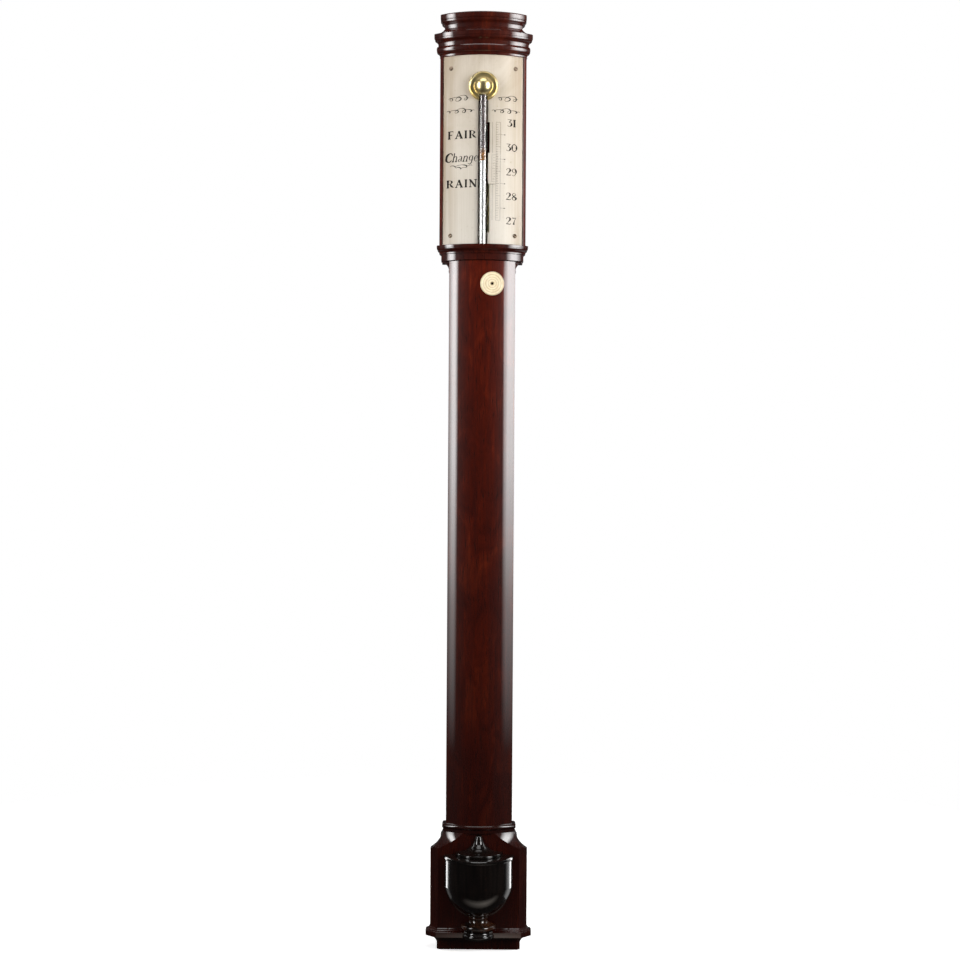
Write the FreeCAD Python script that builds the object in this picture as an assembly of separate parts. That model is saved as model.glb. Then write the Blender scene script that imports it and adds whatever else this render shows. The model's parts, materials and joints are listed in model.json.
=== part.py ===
import FreeCAD, Part
import math
import os

# A bow-front stick barometer that hangs on a wall. The front faces -Y and the wall is the
# plane y = 0. Everything is laid out in heights above the underside of the plinth, then moved
# down so that the origin is the centre of the hanging hole.

V = FreeCAD.Vector

# ---- driving dimensions, in millimetres ----
HOOK_Z = 905.0
HOOK_RADIUS = 4.0
HOOK_PLATE = 2.5

TOTAL_HEIGHT = 971.7
CORNICE_BOTTOM = 926.2
CORNICE_TOP = 957.0
HOOD_BOTTOM = 712.0
TRUNK_BOTTOM = 121.0
SHOULDER = 103.7
PLINTH_TOP = 23.0

HOOD_BOW = 75.0
HOOD_BOW_Y = 44.0
HOOD_HALF = 45.0
STILE = 3.0
STILE_PROUD = 1.0
PLATE = 1.2
PLATE_BOTTOM = 716.0

TRUNK_BOW = 62.0
TRUNK_BOW_Y = 23.5
TRUNK_HALF = 34.3

WAIST_BOW = 70.0
WAIST_BOW_Y = 30.0
WAIST_HALF = 43.0

BOX_HALF = 50.0
BOX_FRONT = 39.0
BOX_CANT = 8.0
BASE_BACK_HALF = 40.0
BASE_BACK = 22.0
RETURN_STOP = 12.0

TUBE_Y = -30.0
TUBE_RADIUS = 4.8
TUBE_BORE = 3.1
TUBE_FOOT = 56.0
TUBE_TOP = 893.8
MERCURY_TOP = 816.5
CISTERN_LEVEL = 69.0
BOSS_Z = 893.3

PINION_X = 10.3
PINION_Z = 688.1
MODULE = 0.4
TEETH = 16
PRESSURE_ANGLE = math.radians(20)
BACKLASH = 0.10
RACK_BACK = -23.5
RACK_FRONT = -26.5
NOTCH_LOW = 741.9
NOTCH_HIGH = 856.4
VERNIER_LOW = 792.3
VERNIER_HIGH = 824.1
VERNIER_RIGHT = 13.0

URN_Y = -39.3
CISTERN_RADIUS = 21.5
CISTERN_WELL = 23.0
CHAMBER_HALF = 22.4

FIT = 0.05
FAR = 160.0
BOW_SECTOR = 150.0
BACKWARD = V(0, 1, 0)
FORWARD = V(0, -1, 0)


# ---- helpers ----
def block(x0, x1, y0, y1, z0, z1):
    return Part.makeBox(x1 - x0, y1 - y0, z1 - z0, V(x0, y0, z0))


def rod(radius, start, end):
    return Part.makeCylinder(radius, (end - start).Length, start, end - start)


def outline(points, place):
    """Face through (u, v) points; a third value is the arc's sag to the left of travel."""
    edges = []
    last = points[-1]
    for point in points:
        start = place(last[0], last[1])
        end = place(point[0], point[1])
        if len(point) == 3:
            run = (point[0] - last[0], point[1] - last[1])
            reach = point[2] / math.hypot(*run)
            middle = place((last[0] + point[0]) / 2 - run[1] * reach,
                           (last[1] + point[1]) / 2 + run[0] * reach)
            edges.append(Part.Arc(start, middle, end).toShape())
        else:
            edges.append(Part.LineSegment(start, end).toShape())
        last = point
    return Part.Face(Part.Wire(edges))


def turned(points, y=0.0, x=0.0):
    """Turning about the upright axis through (x, y), from (radius, height) points."""
    face = outline(points, lambda r, z: V(x + r, y, z))
    return face.revolve(V(x, y, 0), V(0, 0, 1), 360)


def turned_forward(points, x, z):
    """Turning about the line along -Y through (x, z), from (radius, depth) points."""
    face = outline(points, lambda r, y: V(x + r, y, z))
    return face.revolve(V(x, 0, z), V(0, 1, 0), 360)


def straight_run(profile, nx, ny, distance):
    """Everything behind a straight moulding whose face looks along (nx, ny)."""
    tangent = V(-ny, nx, 0)
    section = [(-FAR, profile[0][1])] + profile + [(-FAR, profile[-1][1])]
    face = outline(section, lambda e, z: V(nx * (distance + e), ny * (distance + e), z) - tangent * FAR)
    return face.extrude(tangent * 2 * FAR)


def bow_run(profile, radius, centre_y):
    """Everything inside a moulding that follows the bow, over the front sector."""
    section = [(-radius, profile[0][1])] + profile + [(-radius, profile[-1][1])]
    start = FreeCAD.Rotation(V(0, 0, 1), -BOW_SECTOR / 2).multVec(FORWARD)
    face = outline(section, lambda e, z: V(0, centre_y, z) + start * (radius + e))
    return face.revolve(V(0, centre_y, 0), V(0, 0, 1), BOW_SECTOR)


def bowed(profile, radius, centre_y, half_width):
    """Solid with a bowed front and straight sides, mitred at the two corners."""
    shape = bow_run(profile, radius, centre_y)
    for side in (1, -1):
        shape = shape.common(straight_run(profile, side, 0, half_width))
    return shape.common(block(-FAR, FAR, -FAR, 0, profile[0][1], profile[-1][1]))


def canted(profile, front=None):
    """Solid with a flat front, straight sides and canted corners, all mitred."""
    diagonal = math.sqrt(0.5)
    cant = (BOX_HALF - BOX_CANT + BOX_FRONT) * diagonal
    shape = block(-FAR, FAR, -FAR, 0, profile[0][1], profile[-1][1])
    faces = [(1, 0, BOX_HALF), (-1, 0, BOX_HALF), (0, -1, BOX_FRONT),
             (diagonal, -diagonal, cant), (-diagonal, -diagonal, cant)]
    for nx, ny, distance in faces:
        run = front if front and ny else profile
        shape = shape.common(straight_run(run, nx, ny, distance))
    return shape


def cut(shape, *tools):
    for tool in tools:
        shape = shape.cut(tool)
    return shape


def stopped(shape, half_width, stop):
    """Side returns of a moulding cut off short of the wall."""
    for left in (-FAR, half_width):
        shape = shape.cut(block(left, left + FAR - half_width, -stop, 0, 0, 1000))
    return shape


def screw(position, into, head=2.0, shank=1.0, length=9.0, height=1.2):
    """Slotted countersunk-style screw: the head's top is at position, the shank runs along into."""
    body = turned([(0, 0), (head, 0), (head, -height / 3), (shank, -height),
                   (shank, -length + shank), (shank / 4, -length), (0, -length)])
    slot = block(-head, head, -0.2, 0.2, -height / 2, 1)
    body = body.cut(slot)
    turn = FreeCAD.Rotation(V(0, 0, -1), into)
    body.Placement = FreeCAD.Placement(position, turn)
    return body


def group(shapes):
    return Part.makeCompound(shapes)


# ---- hood ----
HANG_PLATE_HALF = 15.0
HANG_PLATE_LOW = 884.0
HANG_PLATE_HIGH = 922.0
HANG_SCREWS = [(-10, 889), (10, 889), (-10, 917), (10, 917)]
BAY_LEFT = -5.6
BAY_RIGHT = 14.5
BAY_BACK = -22.0
BAY_TOP = 896.0
POCKET_RADIUS = 8.0
POCKET_FRONT = -12.0
PLATE_SCREW_X = 33.5
PLATE_SCREW_HEIGHTS = (739.3, 913.3)
SLOT_HALF = 5.2
NOTCH_RIGHT = 6.9


def straight(low, high):
    return [(0, low), (0, high)]


def gear_bay(low, high):
    """Space behind the plate for the tube, the vernier's slider and the rack."""
    return block(BAY_LEFT, BAY_RIGHT, -FAR, BAY_BACK, low, high)


def hanging_plate_blank():
    return block(-HANG_PLATE_HALF, HANG_PLATE_HALF, -HOOK_PLATE, 0, HANG_PLATE_LOW, HANG_PLATE_HIGH)


def make_hanging_plate(screws):
    hole = rod(HOOK_RADIUS, V(0, -2 * HOOK_PLATE, HOOK_Z), V(0, HOOK_PLATE, HOOK_Z))
    return cut(hanging_plate_blank(), hole, *screws)


def make_hanging_screws():
    return [screw(V(x, 0, z), FORWARD, head=2.6, shank=1.4, length=14) for x, z in HANG_SCREWS]


def make_plate_screws():
    """Four small screws through the register plate, square to its bow."""
    screws = []
    for x in (-PLATE_SCREW_X, PLATE_SCREW_X):
        normal = V(x, -math.sqrt(HOOD_BOW ** 2 - x ** 2), 0).normalize()
        for z in PLATE_SCREW_HEIGHTS:
            seat = V(0, HOOD_BOW_Y, z) + normal * (HOOD_BOW + 0.3)
            screws.append(screw(seat, -normal, head=2.3, shank=0.9, length=9))
    return screws


def hood_block(low, high):
    """The hood's core between its stiles, behind the register plate."""
    return bowed(straight(low, high), HOOD_BOW - PLATE, HOOD_BOW_Y, HOOD_HALF - STILE)


def make_hood_core(screws):
    pocket = rod(POCKET_RADIUS, V(0, POCKET_FRONT, HOOK_Z), V(0, 0, HOOK_Z))
    return cut(hood_block(HOOD_BOTTOM, CORNICE_BOTTOM), gear_bay(HOOD_BOTTOM, BAY_TOP), pocket,
               hanging_plate_blank(), *screws)


def make_stile(side):
    inner = HOOD_HALF - STILE
    full = bowed(straight(722, CORNICE_BOTTOM), HOOD_BOW + STILE_PROUD, HOOD_BOW_Y, HOOD_HALF)
    edges = sorted((side * inner, side * FAR))
    return full.common(block(edges[0], edges[1], -FAR, 0, 0, 1000))


def plate_blank(low, high):
    """The register plate's sheet, bent to the hood's bow."""
    sheet = bowed(straight(low, high), HOOD_BOW, HOOD_BOW_Y, HOOD_HALF - STILE - 0.1)
    return sheet.cut(bow_run(straight(low, high), HOOD_BOW - PLATE, HOOD_BOW_Y))


def make_register_plate(screws):
    slot = block(-SLOT_HALF, SLOT_HALF, -FAR, 0, PLATE_BOTTOM, BOSS_Z + 1)
    notch = block(SLOT_HALF - 0.2, NOTCH_RIGHT, -FAR, 0, NOTCH_LOW, NOTCH_HIGH)
    return cut(plate_blank(PLATE_BOTTOM, CORNICE_BOTTOM), slot, notch, *screws)


def make_lower_hood_moulding():
    """Waist moulding: throat, band, ogee and nosing, under the register plate."""
    profile = [(-8.4, 701.0), (-8.0, 702.4), (-1.6, 712.6, 2.4), (-0.3, 712.8), (-0.3, 719.4),
               (0.8, 719.8), (2.2, 723.0, 0.5), (3.8, 725.8, -0.5), (4.4, 726.0), (4.4, 728.2),
               (3.6, 728.6)]
    shape = bowed(profile, WAIST_BOW, WAIST_BOW_Y, WAIST_HALF)
    trunk = trunk_block(690, HOOD_BOTTOM)
    shape = cut(shape, trunk, hood_block(HOOD_BOTTOM, 740), plate_blank(PLATE_BOTTOM, 740),
                make_stile(1), make_stile(-1))
    shape = shape.cut(gear_bay(690, 740).common(block(-FAR, FAR, -36, 0, 0, 1000)))
    return stopped(shape, TRUNK_HALF - 1, RETURN_STOP)


def make_cornice():
    profile = [(0.6, CORNICE_BOTTOM), (2.6, 930.4, 1.0), (3.0, 931.0), (3.0, 937.0, -0.9),
               (2.2, 937.2), (2.2, 939.4), (4.4, 942.8, 0.6), (5.9, 946.0, -0.5), (6.4, 946.2),
               (6.4, 949.8), (5.6, 950.4), (-3.8, 955.8, 1.2), (-4.6, CORNICE_TOP)]
    return stopped(bowed(profile, HOOD_BOW, HOOD_BOW_Y, HOOD_HALF), HOOD_HALF, RETURN_STOP)


def make_cornice_cap():
    profile = [(-4.6, CORNICE_TOP), (-4.6, 959.2), (-2.8, 962.4, 0.5), (-1.2, 965.6, -0.5),
               (-0.4, 966.0), (0, 967.2), (0, 970.4), (-1.1, TOTAL_HEIGHT, -0.3)]
    return bowed(profile, HOOD_BOW, HOOD_BOW_Y, HOOD_HALF)


# ---- trunk ----
DISC_RADIUS = 12.3
DISC_FRONT = -38.9
DISC_BACK = -34.0
KEY_SPACE = 1.35
GROOVE_HALF = 5.6
GROOVE_FRONT = -35.4
WELL_HALF = 14.0
WELL_FRONT = -24.0
STRIP_HALF = 20.0
STRIP_SCREW_X = 18.0
GEAR_POCKET_RIGHT = 16.6
STRIP = 5.0
CLIP_HEIGHTS = (230.0, 400.0, 560.0)


def tube_groove(low, high):
    """Stepped groove up the back of the case."""
    groove = block(-GROOVE_HALF, GROOVE_HALF, GROOVE_FRONT, 0, low, high)
    well = block(-WELL_HALF, WELL_HALF, WELL_FRONT, 0, low, high)
    return groove.fuse(well)


def trunk_block(low, high):
    return bowed(straight(low, high), TRUNK_BOW, TRUNK_BOW_Y, TRUNK_HALF)


def make_key_disc():
    """Bone roundel let into the trunk, with turned rings and a key hole."""
    face = DISC_FRONT
    profile = [(KEY_SPACE, DISC_BACK), (KEY_SPACE, face + 0.3), (1.8, face), (3.6, face - 0.1),
               (4.2, face + 0.25, -0.1), (4.8, face), (8.6, face), (9.1, face + 0.25, -0.1),
               (9.6, face), (11.7, face + 0.1), (DISC_RADIUS, face + 0.7, -0.15), (DISC_RADIUS, DISC_BACK)]
    disc = turned_forward(profile, PINION_X, PINION_Z)
    return disc.cut(block(-GROOVE_HALF, GROOVE_HALF, -35.2, 0, PINION_Z - 15, PINION_Z + 15))


def make_trunk_body(guests):
    body = trunk_block(TRUNK_BOTTOM, HOOD_BOTTOM)
    strip_seat = block(-STRIP_HALF, STRIP_HALF, -STRIP, 0, TRUNK_BOTTOM, HOOD_BOTTOM)
    gear_pocket = block(0, GEAR_POCKET_RIGHT, -28.5, 0, 592, HOOD_BOTTOM)
    disc_seat = rod(DISC_RADIUS, V(PINION_X, DISC_BACK, PINION_Z), V(PINION_X, -FAR, PINION_Z))
    arbor_hole = rod(ARBOR_RADIUS + 0.3, V(PINION_X, -40, PINION_Z), V(PINION_X, -20, PINION_Z))
    return cut(body, tube_groove(TRUNK_BOTTOM, HOOD_BOTTOM), strip_seat, gear_pocket, disc_seat,
               arbor_hole, *guests)


def make_back_strip_screws():
    heights = (140, 262, 384, 506, 628, 700)
    return [screw(V(x, 0, z), FORWARD, head=1.8, length=10)
            for z in heights for x in (-STRIP_SCREW_X, STRIP_SCREW_X)]


def make_trunk_back_strip(screws):
    return cut(block(-STRIP_HALF, STRIP_HALF, -STRIP, 0, TRUNK_BOTTOM, HOOD_BOTTOM), *screws)


def make_trunk_base_bead():
    profile = [(2.6, TRUNK_BOTTOM), (2.6, 124.2), (1.9, 124.2), (1.9, 128.8, -2.0), (0, 128.8)]
    ring = bowed(profile, TRUNK_BOW, TRUNK_BOW_Y, TRUNK_HALF)
    ring = ring.cut(trunk_block(100, 140))
    return stopped(ring, TRUNK_HALF - 1, RETURN_STOP)


def make_tube_clips(screws):
    clips = []
    for z in CLIP_HEIGHTS:
        strap = block(-11.5, 11.5, WELL_FRONT, WELL_FRONT + 1.2, z - 5, z + 5)
        saddle = block(-4, 4, TUBE_Y + TUBE_RADIUS + 0.1, WELL_FRONT, z - 5, z + 5)
        clips.append(cut(strap.fuse(saddle), *screws).removeSplitter())
    return clips


def make_tube_clip_screws():
    back = WELL_FRONT + 1.2
    return [screw(V(x, back, z), FORWARD, head=1.6, shank=0.8, length=7)
            for z in CLIP_HEIGHTS for x in (-8.4, 8.4)]


# ---- boss, tube and mercury ----
BOSS_SEAT = -32.4
DOME_RADIUS = 10.0
DOME_WALL = 1.2
TUBE_HOLE = 5.0


def tube_passage(radius, low, high):
    return rod(radius, V(0, TUBE_Y, low), V(0, TUBE_Y, high))


def make_boss_flange():
    """Dished ring at the head of the tube, its back scribed to the bowed plate."""
    profile = [(0, -28.0), (0, BOSS_SEAT), (10.4, BOSS_SEAT), (14.0, -33.0, 0.4), (15.3, -32.3, 0.4),
               (15.3, -28.0)]
    ring = turned_forward(profile, 0, BOSS_Z)
    return cut(ring, bow_run(straight(850, 930), HOOD_BOW, HOOD_BOW_Y),
               tube_passage(TUBE_HOLE, 860, BOSS_Z + 1.5))


def make_boss_dome():
    """Hollow dome over the tube's sealed end, open underneath where the tube enters."""
    centre = V(0, -31.6, BOSS_Z)
    dome = Part.makeSphere(DOME_RADIUS, centre).cut(Part.makeSphere(DOME_RADIUS - DOME_WALL, centre))
    dome = dome.common(block(-20, 20, -FAR, BOSS_SEAT, BOSS_Z - 20, BOSS_Z + 20))
    return dome.cut(tube_passage(TUBE_HOLE, 860, BOSS_Z))


def make_glass_tube():
    profile = [(TUBE_BORE, TUBE_FOOT), (TUBE_RADIUS, TUBE_FOOT), (TUBE_RADIUS, 889.6),
               (0.8, TUBE_TOP, -1.0), (0, TUBE_TOP), (0, 890.6), (0.6, 890.6), (TUBE_BORE, 888.6)]
    return turned(profile, TUBE_Y)


def make_mercury_column():
    radius = TUBE_BORE - 0.03
    return turned([(0, TUBE_FOOT), (radius, TUBE_FOOT), (radius, MERCURY_TOP - 0.8),
                   (0.5, MERCURY_TOP, -0.25), (0, MERCURY_TOP)], TUBE_Y)


# ---- vernier, rack and pinion ----
RACK_PITCH = math.pi * MODULE
PITCH_RADIUS = MODULE * TEETH / 2
ADDENDUM = 0.8 * MODULE
DEDENDUM = 1.25 * MODULE
PITCH_LINE_X = PINION_X - PITCH_RADIUS
RACK_LEFT = 5.3
RACK_LOW = 650.0
RACK_TOP = 816.0
RACK_TEETH_BELOW = 29
RACK_TEETH_ABOVE = 43
VERNIER_GAP = 0.15
VERNIER_SHEET = 1.0
CARRIAGE_LOW = 797.0
CARRIAGE_HIGH = 817.0
ARBOR_RADIUS = 1.5
BRACKET_RIGHT = 16.5


def make_vernier_plate():
    """Short silvered scale that rides just in front of the register plate."""
    back = HOOD_BOW + VERNIER_GAP
    sheet = bow_run(straight(VERNIER_LOW, VERNIER_HIGH), back + VERNIER_SHEET, HOOD_BOW_Y)
    sheet = sheet.cut(bow_run(straight(VERNIER_LOW, VERNIER_HIGH), back, HOOD_BOW_Y))
    return sheet.common(block(RACK_LEFT, VERNIER_RIGHT, -FAR, 0, VERNIER_LOW, VERNIER_HIGH))


def make_vernier_carriage():
    """Slider behind the plate, with a tongue through the notch to the vernier."""
    tongue = block(RACK_LEFT + FIT, NOTCH_RIGHT - 0.15, -34, RACK_FRONT, CARRIAGE_LOW, CARRIAGE_HIGH)
    tongue = tongue.common(bow_run(straight(790, 820), HOOD_BOW + VERNIER_GAP, HOOD_BOW_Y))
    slider = block(RACK_LEFT, VERNIER_RIGHT, -28.3, RACK_FRONT, CARRIAGE_LOW, CARRIAGE_HIGH)
    return tongue.fuse(slider).removeSplitter()


def make_rack():
    """Straight rack; a space between two teeth stands level with the pinion's axis."""
    tip = PITCH_LINE_X + ADDENDUM
    root = PITCH_LINE_X - DEDENDUM
    half_tip = RACK_PITCH / 4 - ADDENDUM * math.tan(PRESSURE_ANGLE)
    half_root = RACK_PITCH / 4 + DEDENDUM * math.tan(PRESSURE_ANGLE)
    points = [(RACK_LEFT, RACK_LOW), (root, RACK_LOW)]
    for tooth in range(-RACK_TEETH_BELOW, RACK_TEETH_ABOVE):
        centre = PINION_Z + (tooth + 0.5) * RACK_PITCH
        points += [(root, centre - half_root), (tip, centre - half_tip),
                   (tip, centre + half_tip), (root, centre + half_root)]
    last = points[-1][1] + 0.5
    points += [(root, last), (tip, last), (tip, RACK_TOP), (RACK_LEFT, RACK_TOP)]
    face = outline(points, lambda x, z: V(x, RACK_FRONT, z))
    return face.extrude(V(0, RACK_BACK - RACK_FRONT, 0))


def pinion_outline():
    """Involute outline, as (x, z) points about the pinion's centre, with a tooth along -X."""
    base = PITCH_RADIUS * math.cos(PRESSURE_ANGLE)
    tip = PITCH_RADIUS + ADDENDUM
    root = PITCH_RADIUS - DEDENDUM
    flare = math.tan(PRESSURE_ANGLE) - PRESSURE_ANGLE
    half_tooth = math.pi / (2 * TEETH) - BACKLASH / (2 * PITCH_RADIUS)
    flank = []
    for step in range(5):
        radius = base + (tip - base) * step / 4
        roll = math.acos(base / radius)
        flank.append((radius, half_tooth + flare - (math.tan(roll) - roll)))
    points = []
    for tooth in range(TEETH):
        centre = math.pi + tooth * 2 * math.pi / TEETH
        points.append((root, centre - flank[0][1]))
        points += [(radius, centre - angle) for radius, angle in flank]
        points += [(radius, centre + angle) for radius, angle in reversed(flank)]
        points.append((root, centre + flank[0][1]))
    return [(radius * math.cos(angle), radius * math.sin(angle)) for radius, angle in points]


def make_pinion_arbor():
    """Pinion and arbor in one, with a small square for the key behind the roundel's hole."""
    face = outline(pinion_outline(), lambda x, z: V(PINION_X + x, RACK_FRONT, PINION_Z + z))
    gear = face.extrude(V(0, RACK_BACK - RACK_FRONT, 0))
    shaft = rod(ARBOR_RADIUS, V(PINION_X, DISC_BACK, PINION_Z), V(PINION_X, -19.6, PINION_Z))
    square = block(PINION_X - 0.8, PINION_X + 0.8, -37.4, DISC_BACK, PINION_Z - 0.8, PINION_Z + 0.8)
    return gear.fuse(shaft).fuse(square).removeSplitter()


def make_pinion_bracket(screws):
    """Brass cock: two plates that carry the arbor, joined by a wall at the right."""
    front = block(4.9, BRACKET_RIGHT, -28.5, -27.2, PINION_Z - 17, PINION_Z + 17)
    rear = block(7.9, BRACKET_RIGHT, -21.2, -20.0, PINION_Z - 6, PINION_Z + 6)
    wall = block(BRACKET_RIGHT - 1.2, BRACKET_RIGHT, -28.0, -20.0, PINION_Z - 6, PINION_Z + 6)
    hole = rod(ARBOR_RADIUS + FIT, V(PINION_X, -40, PINION_Z), V(PINION_X, -10, PINION_Z))
    return cut(front.fuse(wall).fuse(rear).removeSplitter(), hole, *screws)


def make_bracket_screws():
    return [screw(V(12.6, -27.2, PINION_Z + side * 13), FORWARD, head=1.8, shank=0.8, length=6)
            for side in (-1, 1)]


GUIDE_HEIGHTS = (719.0, 775.0)


def make_rack_guides(screws):
    """Two brass channels that keep the rack straight and in mesh."""
    guides = []
    for z in GUIDE_HEIGHTS:
        base = block(4.2, 14.0, RACK_BACK + 0.1, BAY_BACK, z - 4, z + 4)
        left = block(4.2, RACK_LEFT - FIT, RACK_FRONT, RACK_BACK + 0.2, z - 4, z + 4)
        right = block(PITCH_LINE_X + ADDENDUM + FIT, 8.8, RACK_FRONT, RACK_BACK + 0.2, z - 4, z + 4)
        guides.append(cut(base.fuse(left).fuse(right).removeSplitter(), *screws))
    return guides


def make_guide_screws():
    return [screw(V(11.6, RACK_BACK + 0.1, z), BACKWARD, head=1.6, shank=0.8, length=7)
            for z in GUIDE_HEIGHTS]


# ---- cistern box and plinth ----
WELL_LOW = 44.0
WELL_HIGH = 98.0
PAD_RECESS = 12.5
PAD_RECESS_LOW = 38.0
SCREW_RADIUS = 3.0
BUSH_RADIUS = 6.0
KEY_HOLE = 3.4
BUSH_BOTTOM = 27.0
BUSH_TOP = 37.5
BUSH_FLANGE = 7.5
COVER_BACK_HALF = 30.0
COVER_BACK_LOW = 32.0
PIN_PLACES = ((-29.0, 78.0), (29.0, 78.0))
PIN_RADIUS = 1.5


def make_cistern_box(guests):
    """Flat-fronted box, its top scooped up to the bowed trunk."""
    scoop = [(30.0, PLINTH_TOP), (30.0, SHOULDER), (15.7, SHOULDER), (2.6, TRUNK_BOTTOM, 2.2)]
    box = canted(straight(PLINTH_TOP, TRUNK_BOTTOM))
    box = box.common(bowed(scoop, TRUNK_BOW, TRUNK_BOW_Y, TRUNK_HALF))
    box = stopped(box, BASE_BACK_HALF, BASE_BACK)
    well = tube_passage(CISTERN_WELL, WELL_LOW, WELL_HIGH)
    chamber = block(-CHAMBER_HALF, CHAMBER_HALF, TUBE_Y, -STRIP, WELL_LOW, WELL_HIGH)
    pad_recess = tube_passage(PAD_RECESS, PAD_RECESS_LOW, WELL_LOW)
    cover_seat = block(-COVER_BACK_HALF, COVER_BACK_HALF, -STRIP, 0, COVER_BACK_LOW, TRUNK_BOTTOM)
    return cut(box, well, chamber, pad_recess, tube_groove(WELL_HIGH, TRUNK_BOTTOM), cover_seat,
               tube_passage(KEY_HOLE, PLINTH_TOP, WELL_LOW), *guests)


def make_plinth_moulding():
    """Plinth with a fillet, a nosing and a cavetto that tucks in at the foot, less so in front."""
    upper = [(4.5, 14.4, 2.2), (4.5, 19.4), (3.2, 20.2, -0.2), (0.6, 22.4, 0.5), (0, PLINTH_TOP)]
    sides = [(-7.0, 0), (-7.0, 7.6)] + upper
    front = [(-4.5, 0), (-4.5, 7.6)] + upper
    plinth = stopped(canted(sides, front), BASE_BACK_HALF, BASE_BACK)
    return plinth.cut(tube_passage(KEY_HOLE, -1, PLINTH_TOP + 1))


def make_back_cover_screws():
    places = [(x, z) for z in (38.0, 76.0, 115.0) for x in (-26.5, 26.5)]
    return [screw(V(x, 0, z), FORWARD, length=11) for x, z in places]


def make_cistern_back_cover(screws):
    cover = block(-COVER_BACK_HALF, COVER_BACK_HALF, -STRIP, 0, COVER_BACK_LOW, TRUNK_BOTTOM)
    return cut(cover, *screws)


# ---- cistern ----
CUP_BOTTOM = 51.2
CUP_TOP = 88.0
CUP_BORE = 17.0
SPIGOT_BOTTOM = 84.0
LEATHER = 1.2
PAD_TOP = 46.4
SCREW_TOP = 41.8
PAD_RADIUS = 11.0
PIVOT_RADIUS = 2.0
HEAD_HALF = 2.0
HEAD_TOP = 14.0


def make_cistern_body():
    waist = CISTERN_RADIUS - 0.9
    return turned([(CUP_BORE, CUP_BOTTOM), (CISTERN_RADIUS, CUP_BOTTOM), (CISTERN_RADIUS, 55),
                   (waist, 56), (waist, 84), (CISTERN_RADIUS, 85), (CISTERN_RADIUS, CUP_TOP),
                   (CUP_BORE, CUP_TOP)], TUBE_Y)


def make_cistern_cap():
    """Boxwood lid with a spigot, holding the tube in its collar."""
    spigot = CUP_BORE - FIT
    return turned([(TUBE_RADIUS, SPIGOT_BOTTOM), (spigot, SPIGOT_BOTTOM), (spigot, CUP_TOP),
                   (CISTERN_RADIUS, CUP_TOP), (CISTERN_RADIUS, 90.5), (12, 92.0), (9, 92.0), (9, 96.5),
                   (TUBE_RADIUS, 96.5)], TUBE_Y)


def make_cistern_ring():
    return turned([(14.6, WELL_LOW), (CISTERN_RADIUS, WELL_LOW), (CISTERN_RADIUS, CUP_BOTTOM - LEATHER),
                   (14.6, CUP_BOTTOM - LEATHER)], TUBE_Y)


def make_cistern_leather():
    """Soft leather bottom: a flat rim clamped under the cup and a shallow bag."""
    return turned([(0, PAD_TOP), (12.4, PAD_TOP), (14.2, CUP_BOTTOM - LEATHER, -0.6),
                   (19.5, CUP_BOTTOM - LEATHER), (19.5, CUP_BOTTOM), (13.6, CUP_BOTTOM),
                   (11.8, PAD_TOP + LEATHER, 0.6), (0, PAD_TOP + LEATHER)], TUBE_Y)


def make_cistern_mercury(others):
    edge = CUP_BORE - 0.1
    pool = turned([(0, PAD_TOP + LEATHER), (11.7, PAD_TOP + LEATHER), (13.4, CUP_BOTTOM),
                   (edge, CUP_BOTTOM), (edge, CISTERN_LEVEL), (0, CISTERN_LEVEL)], TUBE_Y)
    return cut(pool, tube_passage(TUBE_RADIUS, TUBE_FOOT, 80), *others)


def make_screw_bush():
    bore = SCREW_RADIUS + FIT
    shoulder = BUSH_BOTTOM + 2.0
    return turned([(bore, BUSH_BOTTOM), (BUSH_FLANGE, BUSH_BOTTOM), (BUSH_FLANGE, shoulder),
                   (BUSH_RADIUS, shoulder), (BUSH_RADIUS, BUSH_TOP), (bore, BUSH_TOP)], TUBE_Y)


def make_pressure_pad():
    socket = PIVOT_RADIUS + FIT
    return turned([(0, 44.0), (socket, 44.0), (socket, SCREW_TOP), (PAD_RADIUS, SCREW_TOP),
                   (PAD_RADIUS, PAD_TOP - 0.6), (PAD_RADIUS - 0.6, PAD_TOP - FIT), (0, PAD_TOP - FIT)],
                  TUBE_Y)


def make_portable_screw():
    """Screw that raises the pad; its square head stays inside the plinth."""
    stem = turned([(0, HEAD_TOP), (SCREW_RADIUS, HEAD_TOP), (SCREW_RADIUS, SCREW_TOP - FIT),
                   (PIVOT_RADIUS, SCREW_TOP - FIT), (PIVOT_RADIUS, 43.9), (0, 43.9)], TUBE_Y)
    head = block(-HEAD_HALF, HEAD_HALF, TUBE_Y - HEAD_HALF, TUBE_Y + HEAD_HALF, 5, HEAD_TOP)
    return stem.fuse(head).removeSplitter()


# ---- turned urn over the cistern ----
def half_turned(points):
    solid = turned(points, URN_Y)
    return solid.common(block(-FAR, FAR, -FAR, URN_Y, 0, 200))


def make_urn_bowl(pins):
    """Bowl hollowed in steps from behind to clear the cistern, its clamp ring and the pad."""
    profile = [(0, 36.8), (9.5, 36.8), (35.2, 68.0, -6.2), (35.2, 95.6), (36.2, 97.0, 0.3), (36.2, 98.8),
               (35.6, 99.4), (0, 99.4)]
    hollows = [rod(radius, V(0, TUBE_Y, low), V(0, TUBE_Y, high))
               for radius, low, high in ((25.0, 50.0, 97.0), (22.0, 43.5, 50.0), (12.0, 41.2, 43.5))]
    return cut(half_turned(profile), *hollows, *pins)


def make_urn_lid():
    profile = [(0, 99.4), (23.2, 99.4), (24.0, 100.2, -0.2), (24.0, 101.6), (23.2, 102.3, -0.2),
               (22.0, 102.5), (8.0, 108.4, 1.5), (4.4, 113.6, 0.5), (0, 113.6)]
    return half_turned(profile)


def make_urn_finial():
    return half_turned([(0, 113.6), (4.4, 113.6), (3.5, 116.6, -0.1), (2.4, 118.6, -0.3),
                        (0.5, 119.4, -0.1), (0, 119.4)])


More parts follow.
